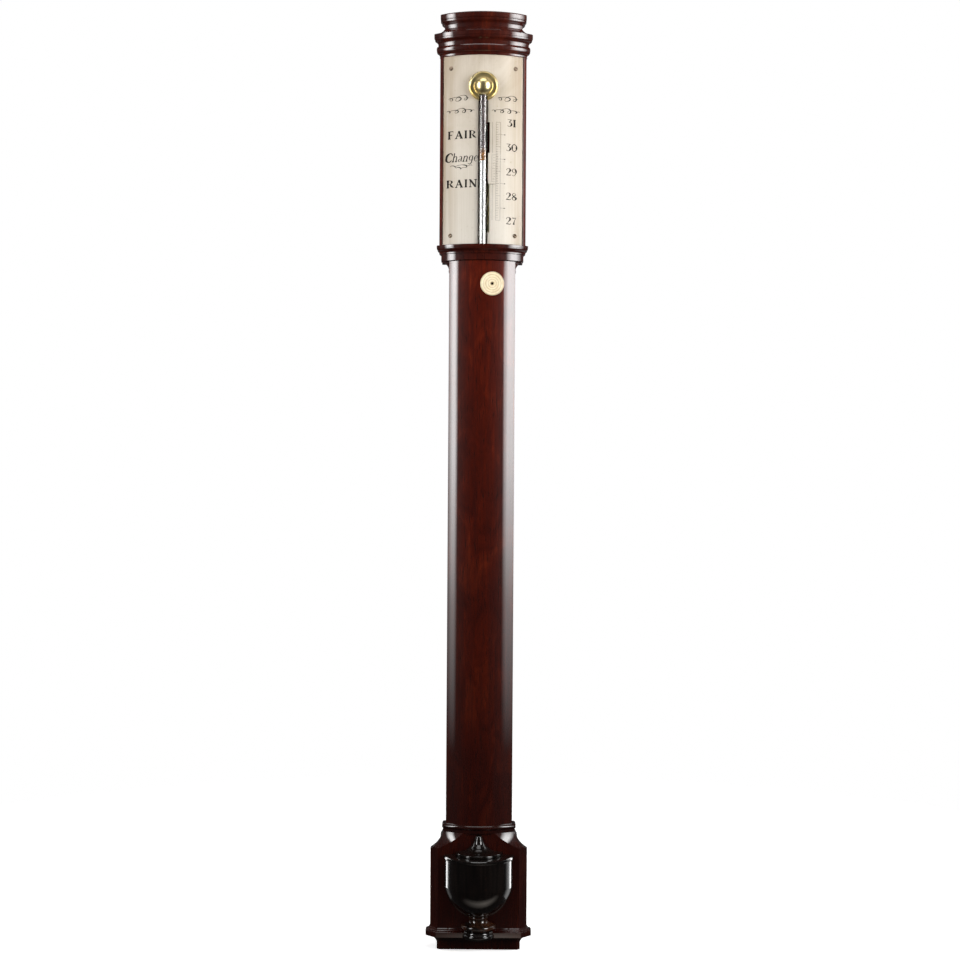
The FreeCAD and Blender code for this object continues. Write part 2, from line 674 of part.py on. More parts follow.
def nosing_clearance():
    """Plinth outline with room to spare, to scribe the pieces that stand in front of it."""
    return canted([(4.8, 0), (4.8, 20.3), (3.4, 21.2), (1.0, 23.6), (0.3, 26.0)])


def make_urn_stem():
    """Collar and spreading flange between the bowl and the foot."""
    profile = [(0, 22.0), (13.4, 22.0), (14.6, 23.2, -0.2), (17.0, 24.0, 0.2), (18.0, 26.0, -0.4),
               (17.0, 28.0, -0.4), (12.2, 29.6, 0.4), (9.8, 31.6, 0.4), (9.3, 33.4, 0.1),
               (10.2, 35.2, -0.3), (9.6, 36.8, -0.2), (0, 36.8)]
    return half_turned(profile).cut(nosing_clearance())


def make_urn_foot():
    """Foot disc, its back scribed clear of the plinth's nosing."""
    profile = [(0, 14.0), (15.6, 14.0), (16.6, 15.2, -0.2), (16.6, 17.2, -0.2), (15.8, 18.2, -0.2),
               (15.4, 19.6, 0.2), (13.0, 22.0, -0.6), (0, 22.0)]
    return half_turned(profile).cut(nosing_clearance())


def make_cover_pins():
    """Two brass pins that hold the urn on the box by a push fit."""
    return [rod(PIN_RADIUS, V(x, -26, z), V(x, -48, z)) for x, z in PIN_PLACES]


def pin_sockets():
    return [rod(PIN_RADIUS + FIT, V(x, -25, z), V(x, -60, z)) for x, z in PIN_PLACES]


def make_parts():
    """Every piece by name, at its place in the assembled instrument."""
    hanging_screws = make_hanging_screws()
    plate_screws = make_plate_screws()
    strip_screws = make_back_strip_screws()
    clip_screws = make_tube_clip_screws()
    bracket_screws = make_bracket_screws()
    guide_screws = make_guide_screws()
    cover_screws = make_back_cover_screws()
    column = make_mercury_column()
    bush = make_screw_bush()
    pins = make_cover_pins()
    return {
        "hanging_plate": make_hanging_plate(hanging_screws),
        "hanging_plate_screws": group(hanging_screws),
        "hood_core": make_hood_core(hanging_screws + plate_screws + guide_screws),
        "stile_left": make_stile(-1),
        "stile_right": make_stile(1),
        "lower_hood_moulding": make_lower_hood_moulding(),
        "cornice": make_cornice(),
        "cornice_cap": make_cornice_cap(),
        "register_plate": make_register_plate(plate_screws),
        "register_plate_screws": group(plate_screws),
        "boss_flange": make_boss_flange(),
        "boss_dome": make_boss_dome(),
        "glass_tube": make_glass_tube(),
        "mercury_column": column,
        "trunk_body": make_trunk_body(strip_screws + clip_screws + bracket_screws),
        "trunk_back_strip": make_trunk_back_strip(strip_screws),
        "back_strip_screws": group(strip_screws),
        "trunk_base_bead": make_trunk_base_bead(),
        "tube_clips": group(make_tube_clips(clip_screws)),
        "tube_clip_screws": group(clip_screws),
        "key_disc": make_key_disc(),
        "pinion_bracket": make_pinion_bracket(bracket_screws),
        "pinion_bracket_screws": group(bracket_screws),
        "rack_guides": group(make_rack_guides(guide_screws)),
        "rack_guide_screws": group(guide_screws),
        "vernier_plate": make_vernier_plate(),
        "vernier_carriage": make_vernier_carriage(),
        "rack": make_rack(),
        "pinion_arbor": make_pinion_arbor(),
        "cistern_box": make_cistern_box([bush] + cover_screws + pin_sockets()),
        "plinth_moulding": make_plinth_moulding(),
        "cistern_back_cover": make_cistern_back_cover(cover_screws),
        "back_cover_screws": group(cover_screws),
        "cistern_body": make_cistern_body(),
        "cistern_cap": make_cistern_cap(),
        "cistern_ring": make_cistern_ring(),
        "cistern_leather": make_cistern_leather(),
        "cistern_mercury": make_cistern_mercury([column]),
        "screw_bush": bush,
        "pressure_pad": make_pressure_pad(),
        "portable_screw": make_portable_screw(),
        "urn_bowl": make_urn_bowl(pins),
        "urn_lid": make_urn_lid(),
        "urn_finial": make_urn_finial(),
        "urn_stem": make_urn_stem(),
        "urn_foot": make_urn_foot(),
        "cover_pins": group(pins),
    }


os.makedirs("parts", exist_ok=True)
for name, shape in make_parts().items():
    placed = shape.copy()
    placed.translate(V(0, 0, -HOOK_Z))
    if not placed.isValid() or placed.Volume <= 0:
        raise ValueError(f"{name} is not a sound solid")
    placed.exportStep(f"parts/{name}.step")
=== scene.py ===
import json
import math

import bpy
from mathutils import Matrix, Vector


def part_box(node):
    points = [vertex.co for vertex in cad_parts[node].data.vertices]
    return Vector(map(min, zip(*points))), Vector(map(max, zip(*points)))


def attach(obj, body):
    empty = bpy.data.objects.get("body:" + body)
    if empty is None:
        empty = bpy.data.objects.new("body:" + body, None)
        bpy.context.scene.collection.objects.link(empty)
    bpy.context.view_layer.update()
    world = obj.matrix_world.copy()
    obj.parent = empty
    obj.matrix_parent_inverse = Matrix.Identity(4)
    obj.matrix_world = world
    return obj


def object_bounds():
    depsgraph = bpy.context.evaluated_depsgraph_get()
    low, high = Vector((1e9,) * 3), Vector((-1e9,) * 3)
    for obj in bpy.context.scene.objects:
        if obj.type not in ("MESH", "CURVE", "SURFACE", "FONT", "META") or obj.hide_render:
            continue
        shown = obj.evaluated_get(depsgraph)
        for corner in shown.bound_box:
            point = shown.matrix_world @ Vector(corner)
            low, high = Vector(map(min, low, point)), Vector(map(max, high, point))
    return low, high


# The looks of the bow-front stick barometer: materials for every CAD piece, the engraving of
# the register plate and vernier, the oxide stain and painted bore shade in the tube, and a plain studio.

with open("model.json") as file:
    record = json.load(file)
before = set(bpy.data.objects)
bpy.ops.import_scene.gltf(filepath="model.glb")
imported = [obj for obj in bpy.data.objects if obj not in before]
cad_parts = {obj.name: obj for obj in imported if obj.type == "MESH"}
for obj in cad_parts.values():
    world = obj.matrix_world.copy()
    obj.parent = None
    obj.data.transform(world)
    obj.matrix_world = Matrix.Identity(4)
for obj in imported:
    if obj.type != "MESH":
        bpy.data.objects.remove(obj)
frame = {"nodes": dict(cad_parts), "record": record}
cad_low, cad_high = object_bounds()
nodes = frame["nodes"]
scene = bpy.context.scene

MM = 0.001
INCH = 25.4 * MM


# ---- places taken from the frame ----
def middle(node):
    low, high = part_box(node)
    return (low + high) / 2


PLATE_LOW, PLATE_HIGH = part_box("register_plate")
VERNIER_LOW, VERNIER_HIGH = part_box("vernier_plate")
COLUMN_LOW, COLUMN_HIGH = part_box("mercury_column")
POOL_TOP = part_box("cistern_mercury")[1].z
BOSS = middle("boss_dome")
FOOT_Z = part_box("plinth_moulding")[0].z
TRUNK_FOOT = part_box("trunk_body")[0].z
TRUNK_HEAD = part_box("trunk_body")[1].z

# The plate's front is part of an upright cylinder with this radius, centred on x = 0.
PLATE_FRONT = PLATE_LOW.y
BOW = 75 * MM
BOW_Y = PLATE_FRONT + BOW

# The scale reads inches of mercury above the level in the cistern.
READING_HIGH = 31
READING_LOW = 27


def scale_z(inches):
    """Height of a reading on the scale."""
    return POOL_TOP + inches * INCH


# ---- meshes ----
LONGEST_PATCH = 1.5 * MM
PATH_STEPS = 6


def piece(name, verts, faces, body, material, smooth=False):
    mesh = bpy.data.meshes.new(name)
    mesh.from_pydata([tuple(v) for v in verts], [], faces)
    mesh.validate()
    mesh.update()
    mesh.materials.append(material)
    for face in mesh.polygons:
        face.use_smooth = smooth
    obj = bpy.data.objects.new(name, mesh)
    scene.collection.objects.link(obj)
    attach(obj, body)
    return obj


class Drawing:
    """Flat strokes in (x, z), laid just above a bowed face as wax-filled cuts."""

    def __init__(self, radius=BOW, lift=0.05 * MM):
        self.verts = []
        self.faces = []
        self.radius = radius + lift

    def quad(self, corners):
        """A four-cornered patch, divided so that it follows the bow."""
        a, b, c, d = (Vector(p) for p in corners)
        longest = max((b - a).length, (c - b).length, (d - c).length, (a - d).length)
        steps = max(1, math.ceil(longest / LONGEST_PATCH))
        start = len(self.verts)
        for i in range(steps + 1):
            left = a.lerp(d, i / steps)
            right = b.lerp(c, i / steps)
            self.verts += [self.bent(left), self.bent(right)]
        for i in range(steps):
            k = start + 2 * i
            self.faces.append((k, k + 1, k + 3, k + 2))

    def bent(self, point):
        x, z = point
        return (x, BOW_Y - math.sqrt(self.radius ** 2 - x ** 2), z)

    def line(self, x0, z0, x1, z1, width):
        run = Vector((x1 - x0, z1 - z0))
        side = Vector((-run.y, run.x)).normalized() * width / 2
        start, end = Vector((x0, z0)), Vector((x1, z1))
        self.quad([start + side, start - side, end - side, end + side])

    def stroke(self, points, at, height, slant=0.0, wide=1.0):
        """A pen stroke through (x, y, width) points in units of the letter's height."""
        placed = []
        for x, y, width in smooth_path(points):
            place = Vector((at[0] + (wide * x + slant * y) * height, at[1] + y * height))
            placed.append((place, width * height))
        for k in range(len(placed) - 1):
            (p, wp), (q, wq) = placed[k], placed[k + 1]
            side_p = pen_side(placed, k) * wp / 2
            side_q = pen_side(placed, k + 1) * wq / 2
            self.quad([p + side_p, p - side_p, q - side_q, q + side_q])

    def finish(self, name, body, material):
        return piece(name, self.verts, self.faces, body, material)


def pen_side(placed, k):
    """Unit vector square to a stroke at its k-th point."""
    before = placed[max(k - 1, 0)][0]
    after = placed[min(k + 1, len(placed) - 1)][0]
    run = after - before
    return Vector((-run.y, run.x)).normalized()


def smooth_path(points):
    """Catmull-Rom through three or more points; two points stay a straight stroke."""
    if len(points) == 2:
        return points
    path = []
    ends = [points[0]] + list(points) + [points[-1]]
    for k in range(1, len(ends) - 2):
        p0, p1, p2, p3 = (Vector(p) for p in ends[k - 1:k + 3])
        for step in range(PATH_STEPS):
            t = step / PATH_STEPS
            path.append(0.5 * ((2 * p1) + (p2 - p0) * t + (2 * p0 - 5 * p1 + 4 * p2 - p3) * t * t
                               + (3 * p1 - p0 - 3 * p2 + p3) * t ** 3))
    path.append(Vector(points[-1]))
    return [tuple(p) for p in path]


# ---- lettering: roman capitals, a small script and old-style figures, stroke by stroke ----
# Each glyph has its width and its strokes, of (x, y, pen width) points in letter heights.
THICK = 0.25
THIN = 0.11
SERIF = 0.14


def stem(x):
    """Upright with a serif at each end."""
    return [[(x, 0.0, THICK), (x, 1.0, THICK)],
            [(x - SERIF, 0.02, THIN), (x + SERIF, 0.02, THIN)],
            [(x - SERIF, 0.98, THIN), (x + SERIF, 0.98, THIN)]]


GLYPHS = {
    "F": (0.62, stem(0.16) + [[(0.16, 0.98, THIN), (0.6, 0.98, THIN)],
                              [(0.6, 0.98, 0.03), (0.6, 0.76, 0.03)],
                              [(0.16, 0.52, THIN), (0.46, 0.52, THIN)],
                              [(0.46, 0.64, 0.03), (0.46, 0.4, 0.03)]]),
    "A": (0.86, [[(0.12, 0.0, THIN), (0.44, 1.0, THIN)],
                 [(0.42, 1.0, THICK), (0.74, 0.0, THICK)],
                 [(0.22, 0.34, THIN), (0.62, 0.34, THIN)],
                 [(0.0, 0.02, THIN), (0.26, 0.02, THIN)],
                 [(0.56, 0.02, THIN), (0.9, 0.02, THIN)]]),
    "I": (0.34, stem(0.17)),
    "R": (0.78, stem(0.16) + [[(0.16, 0.98, THIN), (0.42, 0.97, 0.06), (0.6, 0.76, THICK),
                               (0.42, 0.53, 0.06), (0.16, 0.52, THIN)],
                              [(0.38, 0.52, 0.1), (0.54, 0.24, THICK), (0.8, 0.02, 0.05)]]),
    "N": (0.86, [[(0.14, 0.0, THIN), (0.14, 1.0, THIN)],
                 [(0.12, 0.98, THICK), (0.72, 0.02, THICK)],
                 [(0.72, 0.0, THIN), (0.72, 1.0, THIN)],
                 [(0.0, 0.02, THIN), (0.28, 0.02, THIN)],
                 [(0.58, 0.98, THIN), (0.86, 0.98, THIN)],
                 [(0.0, 0.98, THIN), (0.16, 0.98, THIN)]]),
    "C": (0.8, [[(0.74, 0.72, 0.06), (0.62, 0.94, THIN), (0.4, 0.99, THIN), (0.14, 0.78, THICK),
                 (0.1, 0.5, THICK), (0.16, 0.2, THICK), (0.42, 0.01, THIN), (0.66, 0.08, THIN),
                 (0.76, 0.24, 0.04)],
                [(0.75, 0.98, 0.04), (0.75, 0.7, 0.04)]]),
    "h": (0.6, [[(0.12, 0.0, 0.12), (0.12, 1.0, 0.12)],
                [(0.12, 0.46, THIN), (0.3, 0.62, 0.06), (0.46, 0.5, 0.11), (0.46, 0.0, 0.11)],
                [(0.0, 0.02, THIN), (0.24, 0.02, THIN)],
                [(0.36, 0.02, THIN), (0.58, 0.02, THIN)]]),
    "a": (0.54, [[(0.08, 0.5, 0.05), (0.24, 0.62, 0.05), (0.4, 0.46, 0.11), (0.4, 0.1, 0.11),
                  (0.5, 0.01, 0.04)],
                 [(0.4, 0.34, 0.04), (0.16, 0.26, 0.07), (0.08, 0.12, 0.11), (0.2, 0.0, 0.05),
                  (0.4, 0.14, 0.04)]]),
    "n": (0.6, [[(0.12, 0.0, 0.11), (0.12, 0.62, 0.11)],
                [(0.12, 0.46, THIN), (0.3, 0.62, 0.06), (0.46, 0.5, 0.11), (0.46, 0.0, 0.11)],
                [(0.0, 0.02, THIN), (0.24, 0.02, THIN)],
                [(0.36, 0.02, THIN), (0.58, 0.02, THIN)]]),
    "g": (0.56, [[(0.42, 0.6, 0.05), (0.2, 0.62, 0.05), (0.08, 0.38, 0.12), (0.2, 0.12, 0.05),
                  (0.42, 0.2, 0.05)],
                 [(0.44, 0.62, 0.11), (0.44, -0.1, 0.11), (0.24, -0.32, 0.06),
                  (0.04, -0.2, 0.05)]]),
    "e": (0.5, [[(0.08, 0.34, 0.04), (0.42, 0.38, 0.04), (0.36, 0.58, 0.06), (0.2, 0.62, 0.05),
                 (0.08, 0.32, 0.12), (0.18, 0.04, 0.06), (0.34, 0.0, 0.04), (0.46, 0.12, 0.03)]]),
    "0": (0.66, [[(0.33, 1.0, THIN), (0.1, 0.8, 0.12), (0.06, 0.5, THICK), (0.1, 0.2, 0.12),
                  (0.33, 0.0, THIN), (0.56, 0.2, 0.12), (0.6, 0.5, THICK), (0.56, 0.8, 0.12),
                  (0.33, 1.0, THIN)]]),
    "1": (0.4, stem(0.2) + [[(0.02, 0.82, 0.03), (0.2, 0.98, 0.05)]]),
    "2": (0.62, [[(0.08, 0.74, 0.1), (0.16, 0.94, 0.05), (0.34, 1.0, 0.06), (0.54, 0.76, THICK),
                  (0.34, 0.4, 0.09), (0.06, 0.06, 0.04)],
                 [(0.04, 0.06, 0.1), (0.3, 0.06, 0.12), (0.56, 0.05, 0.08), (0.6, 0.24, 0.03)]]),
    "3": (0.62, [[(0.08, 0.98, 0.06), (0.54, 0.98, 0.06)],
                 [(0.54, 0.98, THIN), (0.26, 0.6, THIN)],
                 [(0.26, 0.6, 0.05), (0.48, 0.52, 0.12), (0.54, 0.26, THICK), (0.3, 0.0, 0.05),
                  (0.06, 0.14, 0.1)]]),
    "7": (0.58, [[(0.04, 0.94, 0.1), (0.3, 0.92, 0.1), (0.56, 0.98, 0.05)],
                 [(0.56, 0.98, 0.04), (0.34, 0.5, 0.09), (0.26, 0.0, THICK)]]),
    "8": (0.62, [[(0.3, 0.54, 0.13), (0.1, 0.76, 0.1), (0.31, 1.0, 0.05), (0.52, 0.78, 0.08),
                  (0.3, 0.54, 0.13), (0.56, 0.26, THICK), (0.31, 0.0, 0.05), (0.07, 0.25, 0.12),
                  (0.3, 0.54, 0.13)]]),
    "9": (0.62, [[(0.06, 0.12, 0.08), (0.28, 0.0, 0.05), (0.52, 0.36, 0.13), (0.52, 0.74, THICK),
                  (0.3, 1.0, 0.05), (0.06, 0.72, 0.13), (0.28, 0.44, 0.05), (0.5, 0.64, 0.05)]]),
}


def write(drawing, text, x, z, height, spacing, wide=1.0, slant=0.0):
    """Letters centred on x and standing on z."""
    widths = [wide * GLYPHS[letter][0] for letter in text]
    x -= (sum(widths) + spacing * (len(text) - 1)) * height / 2
    for letter, width in zip(text, widths):
        for points in GLYPHS[letter][1]:
            drawing.stroke(points, (x, z), height, slant, wide)
        x += (width + spacing) * height


POINTS_A_LOOP = 16
FINE_PEN = 0.42
PEN_SWELL = 0.75


def flourish(drawing, x0, x1, z, height, loops):
    """A pen scroll of overlapping loops between x0 and x1, swelling on the down strokes."""
    count = loops * POINTS_A_LOOP
    points = []
    for k in range(count + 1):
        t = k / count
        turn = 2 * math.pi * loops * t
        swell = math.sqrt(math.sin(math.pi * t))
        rise = 0.5 * height * swell * (0.75 + 0.25 * math.cos(0.5 * turn)) * math.cos(turn)
        x = x0 + (x1 - x0) * t + 0.62 * height * swell * math.sin(turn) + 0.4 * rise
        y = z + rise
        width = (FINE_PEN + PEN_SWELL * max(0.0, math.sin(turn)) * swell) * MM
        points.append((x / MM, y / MM, width / MM))
    drawing.stroke(points, (0, 0), MM)


# ---- engraving of the register plate ----
TENTHS = 10
LADDER_LEFT = 13.6 * MM
LADDER_RIGHT = 18.0 * MM
INNER_RULE = 9.8 * MM
HALF_INCH_TIP = 23.6 * MM
FIGURES_X = 29.6 * MM
FIGURE_SIZE = 7.4 * MM
WORDS_X = -22.0 * MM
WORD_SIZE = 7.8 * MM
SCRIPT_X = -22.8 * MM
SCRIPT_SIZE = 9.0 * MM
# Two rows of flourishes above the words: nearest and furthest x, reading, height and loops.
HEAD_ROWS = ((15, 36, 31.98, 7.0, 3), (9, 38, 31.47, 5.4, 4))


def engrave_plate():
    cuts = Drawing()
    hair = 0.20 * MM
    top, bottom = scale_z(READING_HIGH), scale_z(READING_LOW)
    for tenth in range((READING_HIGH - READING_LOW) * TENTHS + 1):
        z = bottom + tenth * INCH / TENTHS
        length = {0: 1.0, 5: 0.8}.get(tenth % TENTHS, 0.5)
        cuts.line(LADDER_LEFT, z, LADDER_LEFT + length * (LADDER_RIGHT - LADDER_LEFT), z, hair)
    for x in (INNER_RULE, LADDER_LEFT, LADDER_RIGHT):
        cuts.line(x, bottom, x, top, hair)
    for reading in range(READING_LOW, READING_HIGH + 1):
        foot = scale_z(reading) - FIGURE_SIZE / 2
        write(cuts, str(reading), FIGURES_X, foot, FIGURE_SIZE, 0.10, wide=1.15)
    for reading in range(READING_LOW, READING_HIGH):
        z = scale_z(reading + 0.5)
        cuts.line(LADDER_RIGHT, z, HALF_INCH_TIP, z, hair)
        cuts.quad([(21.4 * MM, z), (22.4 * MM, z - 0.55 * MM),
                   (HALF_INCH_TIP, z), (22.4 * MM, z + 0.55 * MM)])

    for word, reading in (("FAIR", 30.5), ("RAIN", 28.5)):
        write(cuts, word, WORDS_X, scale_z(reading) - WORD_SIZE / 2, WORD_SIZE, 0.20, wide=1.22)
    base = scale_z(29.5) - 0.28 * SCRIPT_SIZE
    write(cuts, "Change", SCRIPT_X, base, SCRIPT_SIZE, 0.04, slant=0.22)
    flourish(cuts, -34 * MM, -11 * MM, base - 4.6 * MM, 4.4 * MM, 2)
    flourish(cuts, -28 * MM, -17 * MM, base - 6.6 * MM, 3.4 * MM, 1)

    for side in (-1, 1):
        for near, far, reading, height, loops in HEAD_ROWS:
            x0, x1 = sorted((side * near * MM, side * far * MM))
            flourish(cuts, x0, x1, scale_z(reading), height * MM, loops)
    cuts.finish("plate_engraving", "case", black_wax)


def engrave_vernier():
    radius = math.hypot(BOW_Y - VERNIER_LOW.y, VERNIER_LOW.x)
    cuts = Drawing(radius)
    hair = 0.14 * MM
    span = 1.1 * INCH
    long_mark, short_mark = 3.4 * MM, 2.0 * MM
    right = VERNIER_HIGH.x - 0.3 * MM
    top = VERNIER_HIGH.z - 1.9 * MM
    for division in range(TENTHS + 1):
        z = top - division * span / TENTHS
        length = long_mark if division % 5 == 0 else short_mark
        cuts.line(right - length, z, right, z, hair)
    cuts.line(right - long_mark, top, right - long_mark, top - span, hair)
    cuts.finish("vernier_engraving", "vernier", black_wax)


def stain_tube():
    """Film in the empty bore: brown oxide just above the mercury, and higher up grey-mauve painted shade
    and reflection in place of the slot seen through the glass.
    """
    rows = 60
    around = 24
    top = COLUMN_HIGH.z
    length = BOSS.z - top - 8 * MM
    centre = middle("mercury_column")
    radius = (COLUMN_HIGH.x - COLUMN_LOW.x) / 2 - 0.08 * MM
    heights = [0.05 * MM + length * row / rows for row in range(rows + 1)]
    verts, faces = [], []
    for height in heights:
        for k in range(around):
            turn = 2 * math.pi * k / around
            verts.append((centre.x + radius * math.cos(turn), centre.y + radius * math.sin(turn),
                          top + height))
    for row in range(rows):
        for k in range(around):
            a, b = row * around + k, row * around + (k + 1) % around
            faces.append((a, b, b + around, a + around))
    piece("tube_oxide_and_painted_bore", verts, faces, "case", oxide_and_painted_bore, smooth=True)


# ---- materials ----
def set_stops(node, stops):
    """Gives a colour ramp its (position, colour) stops."""
    band = node.color_ramp
    while len(band.elements) < len(stops):
        band.elements.new(0.5)
    for element, (position, colour) in zip(band.elements, stops):
        element.position = position
        element.color = (*colour, 1.0)


class Finish:
    """A material whose nodes are added one after another, in the part's own coordinates."""

    def __init__(self, name, **settings):
        self.material = bpy.data.materials.new(name)
        self.material.use_nodes = True
        self.tree = self.material.node_tree
        self.shader = self.tree.nodes["Principled BSDF"]
        self.place = self.add("ShaderNodeTexCoord").outputs["Object"]
        self.apply(**{key.replace("_", " "): value for key, value in settings.items()})

    def apply(self, **inputs):
        for key, value in inputs.items():
            self.feed(self.shader.inputs[key], value)

    def feed(self, socket, value):
        if isinstance(value, bpy.types.NodeSocket):
            self.tree.links.new(value, socket)
        else:
            socket.default_value = value

    def add(self, kind, inputs=None, **attributes):
        node = self.tree.nodes.new(kind)
        for key, value in attributes.items():
            setattr(node, key, value)
        for key, value in (inputs or {}).items():
            self.feed(node.inputs[key], value)
        return node

    def stretched(self, scale, turn=(0, 0, 0)):
        node = self.add("ShaderNodeMapping", {"Vector": self.place, "Scale": scale, "Rotation": turn})
        return node.outputs["Vector"]

    def noise(self, scale, detail=3.0, roughness=0.5, distortion=0.0, turn=(0, 0, 0)):
        node = self.add("ShaderNodeTexNoise",
                        {"Vector": self.stretched(scale, turn), "Scale": 1.0, "Detail": detail,
                         "Roughness": roughness, "Distortion": distortion})
        return node.outputs["Fac"]

    def ramp(self, value, *stops):
        node = self.add("ShaderNodeValToRGB", {"Fac": value})
        set_stops(node, stops)
        return node.outputs["Color"]

    def grey(self, value, *stops):
        return self.ramp(value, *[(position, (level,) * 3) for position, level in stops])

    def along(self, axis):
        """The part's own X, Y or Z."""
        return self.add("ShaderNodeSeparateXYZ", {0: self.place}).outputs[axis]

    def maths(self, operation, *values):
        return self.add("ShaderNodeMath", dict(enumerate(values)), operation=operation).outputs[0]

    def spread(self, value, start, end, **limits):
        """A value between start and end turned into a level, from 0 to 1 if nothing else is said."""
        inputs = {key.replace("_", " "): limit for key, limit in limits.items()}
        node = self.add("ShaderNodeMapRange",
                        {"Value": value, "From Min": start, "From Max": end, **inputs})
        return node.outputs["Result"]

    def mix(self, factor, first, second):
        node = self.add("ShaderNodeMix", data_type="RGBA", blend_type="MIX")
        self.feed(node.inputs[0], factor)
        self.feed(node.inputs[6], first)
        self.feed(node.inputs[7], second)
        return node.outputs[2]

    def bump(self, height, strength, distance):
        node = self.add("ShaderNodeBump",
                        {"Height": height, "Strength": strength, "Distance": distance})
        return node.outputs["Normal"]


def polished_mahogany(name, dark, mid, light):
    """Old french-polished mahogany: broad figure, long grain, short dark pores, and painted shade that
    darkens it low down.
    """
    wood = Finish(name, Coat_Weight=1.0, Coat_Roughness=0.045, Coat_IOR=1.5, Specular_IOR_Level=0.08)
    figure = wood.noise((46, 46, 17), 4.0, 0.6, 1.4)
    grain = wood.noise((260, 260, 9), 5.0, 0.65, 0.25)
    pores = wood.noise((1500, 1500, 75), 2.0, 0.5)
    colour = wood.ramp(figure, (0.30, dark), (0.52, mid), (0.74, light))
    colour = wood.mix(wood.grey(grain, (0.35, 0.75), (0.62, 0.0)), colour, (*dark, 1.0))
    colour = wood.mix(wood.grey(pores, (0.30, 0.85), (0.42, 0.0)), colour, (0.012, 0.003, 0.002, 1.0))
    # Painted shade: the wood is mixed towards black low down, where the light falls off towards the foot.
    painted_low_shade = wood.spread(wood.along("Z"), TRUNK_FOOT, TRUNK_HEAD, To_Min=0.72, To_Max=0.0)
    colour = wood.mix(painted_low_shade, colour, (0.005, 0.0004, 0.0001, 1.0))
    rough = wood.grey(grain, (0.3, 0.50), (0.7, 0.36))
    waves = wood.noise((34, 34, 5), 2.0, 0.5)
    normal = wood.bump(pores, 0.06, 0.0002)
    wood.apply(**{"Base Color": colour, "Roughness": rough, "Normal": normal,
                  "Coat Normal": wood.bump(waves, 0.10, 0.001)})
    return wood.material


def polished_ebony(name, rub_and_reflection_level):
    """Black-stained turning with brown patches: rubbed-through stain, and with a low level also a painted
    reflection of the mahogany box.
    """
    wood = Finish(name, Coat_Weight=1.0, Coat_Roughness=0.07, Coat_IOR=1.5, Specular_IOR_Level=0.08)
    grain = wood.noise((300, 300, 20), 4.0, 0.6, 0.2)
    rubbed = wood.noise((60, 60, 60), 4.0, 0.65, 0.5)
    colour = wood.ramp(grain, (0.35, (0.0020, 0.0014, 0.0012)), (0.65, (0.006, 0.0036, 0.0028)))
    patchiness = wood.grey(rubbed, (rub_and_reflection_level, 0.0), (rub_and_reflection_level + 0.2, 0.6))
    colour = wood.mix(patchiness, colour, (0.060, 0.020, 0.008, 1.0))
    wood.apply(**{"Base Color": colour, "Roughness": wood.grey(grain, (0.3, 0.22), (0.7, 0.36)),
                  "Normal": wood.bump(grain, 0.05, 0.0002)})
    return wood.material


def bare_mahogany():
    """Unpolished boards at the back, dusty brown and open grained."""
    wood = Finish("mahogany_unpolished", Specular_IOR_Level=0.15)
    grain = wood.noise((240, 240, 8), 5.0, 0.65, 0.3)
    pores = wood.noise((1300, 1300, 60), 2.0, 0.5)
    dust = wood.noise((30, 30, 12), 4.0, 0.6)
    colour = wood.ramp(grain, (0.30, (0.050, 0.017, 0.008)), (0.70, (0.135, 0.052, 0.025)))
    colour = wood.mix(wood.grey(pores, (0.30, 0.8), (0.42, 0.0)), colour, (0.018, 0.007, 0.004, 1.0))
    colour = wood.mix(wood.grey(dust, (0.40, 0.0), (0.75, 0.35)), colour, (0.16, 0.10, 0.065, 1.0))
    wood.apply(**{"Base Color": colour, "Roughness": wood.grey(grain, (0.3, 0.85), (0.7, 0.68)),
                  "Normal": wood.bump(pores, 0.25, 0.0003)})
    return wood.material


def silvering(name, warm, pale):
    """Silvered brass: fine upright brushing, yellowed lacquer in clouds, tan at the sides, and a painted
    cornice shadow at the top.
    """
    metal = Finish(name, Metallic=0.16, Specular_IOR_Level=0.2)
    clouds = metal.noise((28, 28, 16), 4.0, 0.6, 0.8)
    brushing = metal.noise((1400, 1400, 12), 3.0, 0.6)
    specks = metal.noise((420, 420, 420), 2.0, 0.5)
    colour = metal.ramp(clouds, (0.30, warm), (0.70, pale))
    # Painted shadow of the cornice: the plate stays darker at the top and turns paler downwards.
    cornice_shadow_fade = metal.spread(metal.along("Z"), PLATE_HIGH.z, PLATE_LOW.z, To_Min=0.0, To_Max=0.75)
    colour = metal.mix(cornice_shadow_fade, colour, (0.66, 0.63, 0.57, 1.0))
    colour = metal.mix(metal.grey(brushing, (0.35, 0.16), (0.65, 0.0)), colour, (0.34, 0.27, 0.19, 1.0))
    # Darker tan streaks that grow towards the sides.
    streaks = metal.noise((170, 170, 5), 4.0, 0.6)
    reach = metal.maths("ABSOLUTE", metal.along("X"))
    near_edge = metal.spread(reach, 0.60 * PLATE_HIGH.x, PLATE_HIGH.x)
    patchiness = metal.maths("MULTIPLY", metal.grey(streaks, (0.34, 0.25), (0.62, 1.0)), near_edge)
    colour = metal.mix(metal.grey(patchiness, (0.0, 0.0), (1.0, 0.85)), colour, (0.30, 0.22, 0.14, 1.0))
    colour = metal.mix(metal.grey(specks, (0.24, 0.55), (0.31, 0.0)), colour, (0.30, 0.23, 0.15, 1.0))
    metal.apply(**{"Base Color": colour, "Roughness": metal.grey(brushing, (0.3, 0.62), (0.7, 0.52)),
                   "Normal": metal.bump(brushing, 0.08, 0.0002)})
    return metal.material


def lacquered_brass(name, deep, bright, low, high):
    metal = Finish(name, Metallic=1.0)
    clouds = metal.noise((90, 90, 90), 4.0, 0.6, 0.5)
    turning = metal.noise((500, 500, 900), 2.0, 0.5)
    colour = metal.ramp(clouds, (0.30, deep), (0.68, bright))
    metal.apply(**{"Base Color": colour, "Roughness": metal.grey(clouds, (0.3, high), (0.7, low)),
                   "Normal": metal.bump(turning, 0.04, 0.0001)})
    return metal.material


